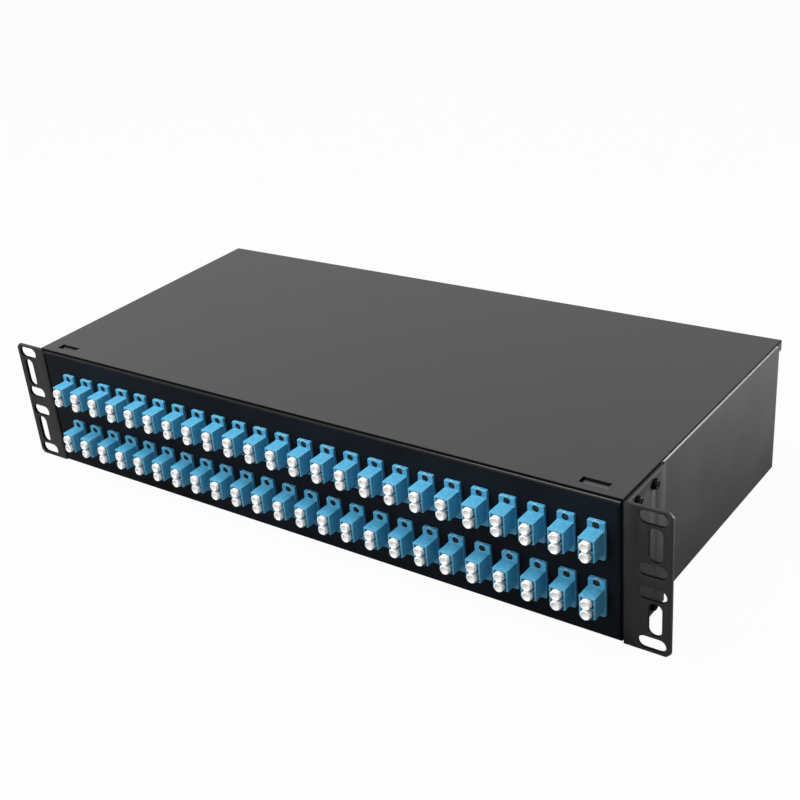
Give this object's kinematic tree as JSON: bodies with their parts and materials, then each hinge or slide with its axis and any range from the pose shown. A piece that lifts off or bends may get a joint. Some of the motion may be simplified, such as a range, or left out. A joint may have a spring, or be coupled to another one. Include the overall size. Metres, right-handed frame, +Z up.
{
  "type": "fibre optic patch panel",
  "caption": "Two-unit rack-mount fibre patch and splice case: folded black steel box with rack ears, two rows of upright blue duplex adapters with white dust plugs, and rear cable glands.",
  "frame": {"origin": "middle of the rack slot pattern, on the rear face of the ears where they meet the rack rails", "axes": "+X to the right as seen from the front, +Y from the front to the rear, +Z up"},
  "size_m": [0.4826, 0.2405, 0.087],
  "materials": {
    "black_powder_coat": "satin powder coat",
    "black_screw": "blackened steel",
    "blue_plastic": "fine moulded",
    "white_plastic": "fine moulded",
    "black_nylon": "fine moulded",
    "seal_rubber": "soft",
    "grey_tray_plastic": "moulded",
    "light_comb_plastic": "moulded",
    "clear_cover_plastic": "clear",
    "zinc_steel": "zinc plated",
    "earth_brass": "turned"
  },
  "bodies": {
    "case": {"chassis_tray": "black_powder_coat", "front_panel": "black_powder_coat", "left_rack_ear": "black_powder_coat", "right_rack_ear": "black_powder_coat", "left_ear_screws": "black_screw", "right_ear_screws": "black_screw", "upper_adapters_1": "blue_plastic", "upper_adapters_2": "blue_plastic", "upper_adapters_3": "blue_plastic", "upper_adapters_4": "blue_plastic", "lower_adapters_1": "blue_plastic", "lower_adapters_2": "blue_plastic", "lower_adapters_3": "blue_plastic", "lower_adapters_4": "blue_plastic", "gland_bodies": "black_nylon", "gland_locknuts": "black_nylon", "fibre_rings": "black_nylon", "gland_seals": "seal_rubber", "left_splice_tray": "grey_tray_plastic", "right_splice_tray": "grey_tray_plastic", "left_splice_comb": "light_comb_plastic", "right_splice_comb": "light_comb_plastic", "left_cable_anchor": "zinc_steel", "right_cable_anchor": "zinc_steel", "tray_studs": "zinc_steel", "tray_nuts": "zinc_steel", "earth_stud": "earth_brass", "earth_nut": "earth_brass"},
    "cover": {"top_cover": "black_powder_coat", "top_cover_screws": "black_screw"},
    "upper_dust_plugs_1": {"upper_dust_plugs_1": "white_plastic"},
    "upper_dust_plugs_2": {"upper_dust_plugs_2": "white_plastic"},
    "upper_dust_plugs_3": {"upper_dust_plugs_3": "white_plastic"},
    "upper_dust_plugs_4": {"upper_dust_plugs_4": "white_plastic"},
    "lower_dust_plugs_1": {"lower_dust_plugs_1": "white_plastic"},
    "lower_dust_plugs_2": {"lower_dust_plugs_2": "white_plastic"},
    "lower_dust_plugs_3": {"lower_dust_plugs_3": "white_plastic"},
    "lower_dust_plugs_4": {"lower_dust_plugs_4": "white_plastic"},
    "left_gland_dome_nut": {"left_gland_dome_nut": "black_nylon"},
    "left_tray_cover": {"left_tray_cover": "clear_cover_plastic"},
    "right_gland_dome_nut": {"right_gland_dome_nut": "black_nylon"},
    "right_tray_cover": {"right_tray_cover": "clear_cover_plastic"}
  },
  "joints": [
    {"name": "cover_slide", "type": "slide", "parent": "case", "child": "cover", "axis": [0, 1, 0], "range_m": [0, 0.18]},
    {"name": "upper_dust_plugs_1_pull", "type": "slide", "parent": "case", "child": "upper_dust_plugs_1", "axis": [0, -1, 0], "range_m": [0, 0.02]},
    {"name": "upper_dust_plugs_2_pull", "type": "slide", "parent": "case", "child": "upper_dust_plugs_2", "axis": [0, -1, 0], "range_m": [0, 0.02]},
    {"name": "upper_dust_plugs_3_pull", "type": "slide", "parent": "case", "child": "upper_dust_plugs_3", "axis": [0, -1, 0], "range_m": [0, 0.02]},
    {"name": "upper_dust_plugs_4_pull", "type": "slide", "parent": "case", "child": "upper_dust_plugs_4", "axis": [0, -1, 0], "range_m": [0, 0.02]},
    {"name": "lower_dust_plugs_1_pull", "type": "slide", "parent": "case", "child": "lower_dust_plugs_1", "axis": [0, -1, 0], "range_m": [0, 0.02]},
    {"name": "lower_dust_plugs_2_pull", "type": "slide", "parent": "case", "child": "lower_dust_plugs_2", "axis": [0, -1, 0], "range_m": [0, 0.02]},
    {"name": "lower_dust_plugs_3_pull", "type": "slide", "parent": "case", "child": "lower_dust_plugs_3", "axis": [0, -1, 0], "range_m": [0, 0.02]},
    {"name": "lower_dust_plugs_4_pull", "type": "slide", "parent": "case", "child": "lower_dust_plugs_4", "axis": [0, -1, 0], "range_m": [0, 0.02]},
    {"name": "left_gland_dome_nut_turn", "type": "hinge", "parent": "case", "child": "left_gland_dome_nut", "pos_m": [-0.165, 0.2161, -0.01], "axis": [0, 1, 0], "range_deg": [0, 360]},
    {"name": "left_tray_cover_lift", "type": "slide", "parent": "case", "child": "left_tray_cover", "axis": [0, 0, 1], "range_m": [0, 0.04]},
    {"name": "right_gland_dome_nut_turn", "type": "hinge", "parent": "case", "child": "right_gland_dome_nut", "pos_m": [0.165, 0.2161, -0.01], "axis": [0, 1, 0], "range_deg": [0, 360]},
    {"name": "right_tray_cover_lift", "type": "slide", "parent": "case", "child": "right_tray_cover", "axis": [0, 0, 1], "range_m": [0, 0.04]}
  ]
}
